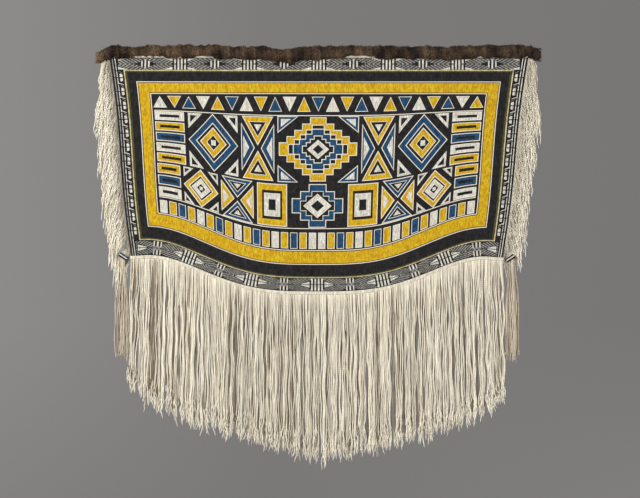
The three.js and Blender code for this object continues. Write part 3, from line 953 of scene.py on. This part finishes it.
def tassel(side, name, material):
    """A bundle of yarns that passes through its wrapping and hangs down."""
    count, points = TASSEL_STRANDS, 22
    matrix = binding_matrix(side)
    share = np.linspace(0, 1, points)[None]
    across = rng.uniform(-1, 1, count)
    deep = rng.uniform(-1, 1, count)

    def bundle(height):
        rows = [(side * a * 12.5 * MM, d * 4.6 * MM, height) for a, d in zip(across, deep)]
        return np.array([matrix @ Vector(row) for row in rows])

    heads, necks = bundle(10 * MM), bundle(-11 * MM)
    tip = TASSEL_TIP_Z + rng.normal(0, 12, count) * MM
    end_x = side * mix(TASSEL_INNER_X - 3 * MM, TASSEL_OUTER_X + 3 * MM, (across + 1) / 2)
    x = mix(necks[:, :1], end_x[:, None], smooth(share * 1.8))
    x += wander(count, points, 6, 2.2 * MM) * smooth(share * 3)
    y = necks[:, 1:2] + (deep * 3.4 * MM)[:, None] * smooth(share * 6) + wander(count, points, 5, 1.2 * MM)
    z = mix(necks[:, 2:], tip[:, None], share)
    paths = np.concatenate([heads[:, None], np.stack([x, y, z], axis=-1)], axis=1)
    radii = np.full((count, points + 1), YARN)
    tints = np.clip(rng.normal(0.5, 0.25, (count, 1)), 0, 1)
    return tubes(f"{name}_yarns", paths, radii, tints, 5, material, name)


def rough(x, spacing, row):
    """Smooth random bumps along the strip; each row of bumps differs."""
    knots = FUR_BUMPS[row]
    at = (np.asarray(x) + 1.0) / spacing
    low = at.astype(int)
    return mix(knots[low], knots[low + 1], smooth(at - low))


def past_end(x, length):
    """0 up to the last length of the strip, then up to 1 at its end."""
    end = np.where(np.asarray(x) < 0, -fur_low.x, fur_high.x)
    return smooth((np.abs(x) - end + length) / length)


def fur_middle(x):
    """Centre height of the fur and its share of full size along the top."""
    past = past_end(x, 0.07)
    droop = np.where(x < 0, 17 * MM, 9 * MM) * past
    sag = np.exp(-(((x + 0.122) / 0.062) ** 2))
    rise = 4 * MM * np.exp(-(((x - 0.62) / 0.09) ** 2)) + 3 * MM * np.exp(-(((x + 0.75) / 0.04) ** 2))
    sway = 1.5 * MM * np.sin(2 * np.pi * x / 0.61) + 1.2 * MM * rough(x, 0.05, 0)
    return FUR_MIDDLE - droop - 13 * MM * sag + rise + sway, 1 - 0.18 * past + 0.08 * sag


def fur_notch(x, angle):
    """How far the strip's lower side is worn away upwards."""
    worn = sum(np.exp(-(((x - middle) / half) ** 4)) for middle, half in FUR_NOTCHES)
    return (9 + 2.4 * rough(x, 0.012, 3)) * MM * worn * np.clip(-np.sin(angle), 0, 1)


def fur_lump(x, angle):
    """How far the pelt swells or sinks; its upper and lower sides have bumps of their own."""
    upper = rough(x, 0.013, 1) + 0.8 * rough(x, 0.031, 2)
    lower = rough(x, 0.016, 3) + 0.8 * rough(x, 0.036, 4)
    return 1.7 * MM * mix(lower, upper, 0.5 + 0.5 * np.sin(angle))


def fur_body(material):
    steps, corners = 640, 20
    x = np.linspace(fur_low.x + 6 * MM, fur_high.x - 6 * MM, steps)[:, None]
    angle = (2 * np.pi * np.arange(corners) / corners)[None]
    middle, size = fur_middle(x)
    lump = fur_lump(x, angle)
    closing = np.sqrt(1 - 0.98 * past_end(x, 0.03) ** 2)
    y = np.cos(angle) * (12.5 * MM * size + lump) * closing
    z = middle + np.sin(angle) * (FUR_HALF_HEIGHT * size + lump) * closing + fur_notch(x, angle)
    verts = np.stack([x + 0 * y, y, z], axis=-1).reshape(-1, 3)
    faces = []
    for i in range(steps - 1):
        faces += between_rings(i * corners, (i + 1) * corners, corners)
    faces.append(tuple(reversed(range(corners))))
    faces.append(tuple((steps - 1) * corners + k for k in range(corners)))
    return new_object(mesh_of("fur_pelt", verts, faces), [material], "fur_strip", "fur")


def unit(vectors):
    return vectors / np.linalg.norm(vectors, axis=1, keepdims=True)


def fur_hair(name, length, material):
    """Blades of hair in tufts that lean one way and stand a little out from the pelt."""
    x = rng.uniform(fur_low.x + 4 * MM, fur_high.x - 6 * MM, HAIRS)
    angle = rng.uniform(0, 2 * np.pi, HAIRS)
    middle, size = fur_middle(x)
    lump = fur_lump(x, angle)
    y = np.cos(angle) * (12 * MM * size + lump)
    z = middle + np.sin(angle) * ((FUR_HALF_HEIGHT - 0.7 * MM) * size + lump) + fur_notch(x, angle)
    root = np.stack([x, y, z], axis=-1)
    normal = np.stack([0 * x, np.cos(angle), np.sin(angle)], axis=-1)
    tuft = rough(x, 0.009, 5)
    lean = 0.42 * tuft + rng.normal(0, 0.35, HAIRS) + np.where(rng.random(HAIRS) < 0.5, 0.0, np.pi)
    around = np.stack([0 * x, -np.sin(angle), np.cos(angle)], axis=-1)
    along = np.stack([np.sin(lean) + 1.5 * np.sign(x) * past_end(x, 0.02), 0 * x, 0 * x], axis=-1)
    lie = unit(along + around * np.cos(lean)[:, None])
    long = (length * rng.uniform(0.55, 1.2, HAIRS) * (1 + 0.2 * rough(x, 0.012, 6)))[:, None]
    stand = rng.uniform(0.15, 0.6, HAIRS)[:, None]
    halfway = root + (lie * 0.55 + normal * stand) * long * 0.5
    tip = halfway + (lie * 0.9 + normal * (stand * 0.3)) * long * 0.5
    wide = unit(np.cross(lie, normal)) * rng.uniform(0.35, 0.7, HAIRS)[:, None] * MM
    verts = np.stack([root - wide, root + wide, halfway + wide * 0.8, halfway - wide * 0.8, tip], axis=1)
    tone = 0.4 + 0.2 * tuft + 0.18 * rough(x, 0.024, 2) + rng.normal(0, 0.2, HAIRS)
    tone = np.clip(tone + 0.5 * past_end(x, 0.05) * (x < 0) - 0.2 * smooth(x / 0.5), 0, 1)
    start = np.arange(HAIRS)[:, None] * 5
    blades = [start + np.array([corners]) for corners in ((0, 1, 2, 3), (3, 2, 4))]
    mesh = array_mesh(name, verts, blades, np.repeat(tone, 5))
    mesh.validate()
    return new_object(mesh, [material], slot="fur")


def top_heading(material):
    """The cream cord woven along the top edge, seen here and there below the fur."""
    x = np.linspace(-TOP_HALF + 2 * MM, TOP_HALF - 2 * MM, 240)
    paths = np.stack([x, 0 * x, 0 * x + 4.4 * MM], axis=-1)[None]
    return tubes("top_heading", paths, np.full((1, 240), 5 * MM), np.full((1, 1), 0.5), 10, material)


# Materials


def srgb(r, g, b):
    def linear(value):
        share = value / 255
        return share / 12.92 if share <= 0.04045 else ((share + 0.055) / 1.055) ** 2.4

    return (linear(r), linear(g), linear(b), 1.0)


def add_node(tree, kind, inputs=None, **settings):
    """A node with each input set to a value or linked to another node's output."""
    node = tree.nodes.new(kind)
    for name, value in settings.items():
        setattr(node, name, value)
    for name, value in (inputs or {}).items():
        if isinstance(value, bpy.types.NodeSocket):
            tree.links.new(value, node.inputs[name])
        else:
            node.inputs[name].default_value = value
    return node


class Shader:
    """A material and short ways to add nodes to it."""

    def __init__(self, name, roughness=0.92):
        self.material = bpy.data.materials.new(name)
        self.material.use_nodes = True
        self.tree = self.material.node_tree
        self.surface = self.tree.nodes["Principled BSDF"]
        self.surface.inputs["Roughness"].default_value = roughness
        self.surface.inputs["Specular IOR Level"].default_value = 0.2

    def add(self, kind, inputs=None, **settings):
        return add_node(self.tree, kind, inputs, **settings)

    def math(self, operation, a, b=0.0):
        return self.add("ShaderNodeMath", {0: a, 1: b}, operation=operation).outputs[0]

    def plus(self, a, b):
        return self.math("ADD", a, b)

    def minus(self, a, b):
        return self.math("SUBTRACT", a, b)

    def times(self, a, b):
        return self.math("MULTIPLY", a, b)

    def ridge(self, value):
        """Rounded ridges, one for each whole number."""
        return self.math("ABSOLUTE", self.math("SINE", self.times(value, math.pi)))

    def clamp(self, value):
        return self.add("ShaderNodeClamp", {"Value": value}).outputs[0]

    def blend(self, share, a, b):
        return self.add("ShaderNodeMix", {0: share, 6: a, 7: b}, data_type="RGBA").outputs[2]

    def noise(self, vector, scale, detail=2.0):
        inputs = {"Vector": vector, "Scale": scale, "Detail": detail}
        return self.add("ShaderNodeTexNoise", inputs).outputs["Fac"]

    def place(self):
        return self.add("ShaderNodeTexCoord").outputs["Object"]

    def split(self, vector):
        return self.add("ShaderNodeSeparateXYZ", {"Vector": vector}).outputs

    def round_and_along(self):
        """Share of the way round a strand or cord, and length along it."""
        split = self.split(self.add("ShaderNodeUVMap", uv_map="along").outputs["UV"])
        return split["X"], split["Y"]

    def tint(self):
        return self.add("ShaderNodeAttribute", attribute_name="tint").outputs["Fac"]

    def finish(self, colour, height, distance):
        self.tree.links.new(colour, self.surface.inputs["Base Color"])
        bump = self.add("ShaderNodeBump", {"Height": height, "Distance": distance, "Strength": 0.8})
        self.tree.links.new(bump.outputs["Normal"], self.surface.inputs["Normal"])
        return self.material


RIB, ROW = 3.2 * MM, 2.5 * MM  # spacing of the upright ribs and of the rows of stitches


def twined_wool(name, *colours):
    """Upright ribs of twined stitches; the colours are the wool's, a darker one painted as shade in the
    hollows between the ribs and also used for dark streaks, and its odd stitches'.
    """
    colour, deep, stray = (srgb(*rgb) for rgb in colours)
    shader = Shader(name)
    place = shader.place()
    split = shader.split(place)
    ribs = shader.math("DIVIDE", split["X"], RIB)
    rows = shader.math("DIVIDE", split["Z"], ROW)
    slant = shader.plus(rows, shader.times(ribs, 0.5))
    height = shader.times(shader.ridge(ribs), shader.plus(shader.times(shader.ridge(slant), 0.5), 0.5))
    corner = {"X": shader.math("FLOOR", ribs), "Y": shader.math("FLOOR", rows)}
    cell = shader.add("ShaderNodeCombineXYZ", corner)
    each = shader.add("ShaderNodeTexWhiteNoise", {"Vector": cell.outputs[0]}, noise_dimensions="2D")
    stretched = shader.add("ShaderNodeVectorMath", {0: place, 1: (1.0, 1.0, 0.3)}, operation="MULTIPLY")
    streak = shader.noise(stretched.outputs[0], 230.0)
    patchy = shader.times(shader.minus(shader.noise(place, 55.0, 4.0), 0.38), 4.0)
    strays = shader.clamp(shader.times(shader.plus(each.outputs["Value"], streak), patchy))
    lines = shader.times(shader.minus(streak, 0.44), 2.4)
    # painted shade: the hollows between the ribs blend towards the darker colour, together with the yarn's
    # own dark streaks
    dark = shader.clamp(shader.plus(shader.times(shader.minus(1.0, height), 0.55), lines))
    return shader.finish(shader.blend(dark, shader.blend(strays, colour, stray), deep), height, 0.9 * MM)


def ply_yarn(name, light, dark):
    """Two-ply yarn, with each strand's own tone, which also carries the painted light and shade some pieces
    put into it; the grooves between the plies are painted shade.
    """
    light, dark = srgb(*light), srgb(*dark)
    shader = Shader(name)
    around, along = shader.round_and_along()
    ply = shader.ridge(shader.plus(shader.times(around, 2.0), shader.math("DIVIDE", along, 7 * MM)))
    soft = shader.noise(shader.place(), 55.0, 3.0)
    share = shader.plus(shader.times(shader.tint(), 0.75), shader.times(soft, 0.35))
    # painted shade in the grooves between the plies
    groove_shade = shader.times(shader.minus(1.0, ply), 0.3)
    return shader.finish(shader.blend(groove_shade, shader.blend(share, dark, light), dark), ply, 0.5 * MM)


def braided_cord(name, light, dark):
    shader = Shader(name)
    around, along = shader.round_and_along()
    ply = shader.ridge(shader.plus(shader.math("DIVIDE", along, 4.4 * MM), shader.times(around, 0.9)))
    # painted shade in the grooves between the braid's strands
    groove_shade = shader.times(shader.minus(1.0, ply), 0.5)
    return shader.finish(shader.blend(groove_shade, srgb(*light), srgb(*dark)), ply, 0.6 * MM)


def fur_coat(name, dark, light, tinted):
    shader = Shader(name, roughness=0.75)
    place = shader.place()
    share = shader.times(shader.minus(shader.noise(place, 22.0, 3.0), 0.42), 2.2)
    if tinted:
        share = shader.plus(shader.times(share, 0.6), shader.times(shader.tint(), 0.45))
    colour = shader.blend(shader.clamp(share), srgb(*dark), srgb(*light))
    return shader.finish(colour, shader.noise(place, 900.0), 0.6 * MM)


def plain(name, light, dark, roughness):
    shader = Shader(name, roughness)
    fine = shader.noise(shader.place(), 9.0, 4.0)
    return shader.finish(shader.blend(fine, srgb(*dark), srgb(*light)), fine, 0.1 * MM)


# Studio


def area_light(name, place, size, power, colour):
    light = bpy.data.lights.new(name, "AREA")
    light.shape = "RECTANGLE"
    light.size, light.size_y = size
    light.energy = power
    light.color = colour
    lamp = bpy.data.objects.new(name, light)
    lamp.location = place
    aim = Vector((0, 0, -0.75)) - Vector(place)
    lamp.rotation_euler = aim.to_track_quat("-Z", "Y").to_euler()
    bpy.context.scene.collection.objects.link(lamp)


def backdrop():
    """Grey painted lighter at the left, as light falling from the left, that evens out towards the bottom.
    """
    world = bpy.data.worlds.new("backdrop")
    bpy.context.scene.world = world
    world.use_nodes = True
    tree = world.node_tree
    tree.nodes.clear()
    place = add_node(tree, "ShaderNodeTexCoord").outputs["Generated"]
    split = add_node(tree, "ShaderNodeSeparateXYZ", {0: place}).outputs
    shares = []
    for axis, start, end in (("X", -0.13, 0.13), ("Z", -0.03, -0.11)):
        inputs = {"Value": split[axis], "From Min": start, "From Max": end}
        shares.append(add_node(tree, "ShaderNodeMapRange", inputs).outputs["Result"])
    greys = []
    for tones in ((142, 126, 121), (130, 122, 129)):
        ramp = add_node(tree, "ShaderNodeValToRGB", {0: shares[0]})
        ramp.color_ramp.elements.new(0.42)
        for element, tone in zip(ramp.color_ramp.elements, tones):
            element.color = srgb(tone, tone - 3, tone - 3)
        greys.append(ramp.outputs[0])
    both = add_node(tree, "ShaderNodeMix", {0: shares[1], 6: greys[0], 7: greys[1]}, data_type="RGBA")
    back = add_node(tree, "ShaderNodeBackground", {"Color": both.outputs[2]})
    add_node(tree, "ShaderNodeOutputWorld", {0: back.outputs[0]})


def studio():
    backdrop()
    area_light("key", (-5.6, -5.6, 2.2), (3.2, 3.2), 760, (1.0, 0.985, 0.96))
    area_light("fill", (5.4, -6.0, 0.4), (3.2, 3.2), 250, (0.97, 0.98, 1.0))
    area_light("back", (2.6, 5.2, 2.6), (2.6, 2.0), 210, (1.0, 1.0, 1.0))
    corners = [(-1.7, -2.2, FLOOR_Z), (1.7, -2.2, FLOOR_Z), (1.7, 1.2, FLOOR_Z), (-1.7, 1.2, FLOOR_Z)]
    pale = plain("pale_floor", (209, 207, 204), (199, 197, 194), 0.8)
    new_object(mesh_of("floor", corners, [(0, 1, 2, 3)]), [pale])
    lens = bpy.data.cameras.new("camera")
    lens.sensor_width = SENSOR
    lens.lens = SENSOR * CAMERA_DISTANCE / VIEW_WIDTH
    camera = bpy.data.objects.new("camera", lens)
    camera.location = (VIEW_CENTRE[0], -CAMERA_DISTANCE, VIEW_CENTRE[1])
    camera.rotation_euler = (math.pi / 2, 0, 0)
    bpy.context.scene.collection.objects.link(camera)
    bpy.context.scene.camera = camera
    bpy.context.scene.view_settings.view_transform = "Standard"


def lean_over(piece):
    """Shift a piece sideways, and its left up, in proportion to depth, as the blanket hangs."""
    mesh = piece.data
    places = np.empty(len(mesh.vertices) * 3, dtype=np.float32)
    mesh.vertices.foreach_get("co", places)
    places = places.reshape(-1, 3)
    hang = np.clip(-places[:, 2] / SIDE_DROP, 0, 1)
    places[:, 2] += LEFT_RISE * hang * np.clip(-places[:, 0] / LOWER_HALF, 0, 1) ** 2
    places[:, 0] -= LEAN * hang
    mesh.vertices.foreach_set("co", places.ravel())
    mesh.update()


# Wools in the order of the painted colours: name, colour, darker colour (painted shade between the ribs,
# and dark streaks), odd stitches
WOOLS = (
    ("black", (31, 32, 35), (17, 17, 19), (50, 46, 44)),
    ("white", (232, 232, 224), (166, 160, 147), (216, 212, 197)),
    ("yellow", (218, 190, 38), (164, 124, 18), (210, 160, 20)),
    ("blue", (27, 75, 115), (15, 41, 68), (48, 89, 121)),
    ("pale", (220, 212, 178), (140, 130, 98), (200, 190, 130)),
    ("olive", (88, 84, 46), (48, 46, 28), (84, 80, 34)),
    ("ink", (30, 26, 24), (20, 16, 16), (80, 50, 30)),
    ("ash", (148, 147, 142), (94, 93, 89), (172, 170, 162)),
    ("slate", (54, 54, 53), (34, 34, 34), (80, 80, 76)),
)
WRAPS = {-1: (BLUE, WHITE, BLACK), 1: (BLACK, WHITE, BLACK)}  # each binding's rings, from the top


def paint_panel():
    paint_field()
    paint_bands()
    paint_top_border()
    paint_lower_border()
    for side in (-1, 1):
        paint_side_border(side)


def build_trims(wools):
    """Every piece but the panel, in the order of the random draws."""
    yarn = ply_yarn("fringe_yarn", (248, 242, 224), (128, 115, 94))
    # darker yarn for the fringe's core, painted shade seen through the gaps between the hanks
    shade_core_yarn = ply_yarn("fringe_core_painted_shade_yarn", (190, 176, 152), (104, 91, 75))
    tassel_yarn = ply_yarn("tassel_yarn", (236, 225, 204), (136, 123, 104))
    cord = braided_cord("cord_white", (236, 230, 214), (150, 140, 122))
    pelt = fur_coat("fur_pelt", (30, 22, 17), (74, 58, 44), False)
    hair = fur_coat("fur_hair", (29, 20, 15), (157, 129, 99), True)
    trims = [outline_cords(cord), fur_body(pelt), top_heading(yarn)]
    trims += [fur_hair("fur_long_hair", 13 * MM, hair), fur_hair("fur_short_hair", 8 * MM, hair)]
    trims += lower_fringe(yarn, shade_core_yarn) + [fringe_heading(yarn)]
    for name, side in (("left", -1), ("right", 1)):
        trims.append(side_fringe(side, f"side_fringe_{name}", yarn))
        trims.append(binding(side, f"binding_{name}", [wools[colour] for colour in WRAPS[side]]))
        trims.append(tassel(side, f"tassel_{name}", tassel_yarn))
    return trims


def build():
    wools = [twined_wool(f"wool_{name}", *colours) for name, *colours in WOOLS]
    paint_panel()
    panel = woven_panel(wools)
    trims = build_trims(wools)
    for piece in [panel] + trims:
        lean_over(piece)
    area = abs(twice_area(inset_loop(OUTER_EDGE))) / 2


build()
studio()
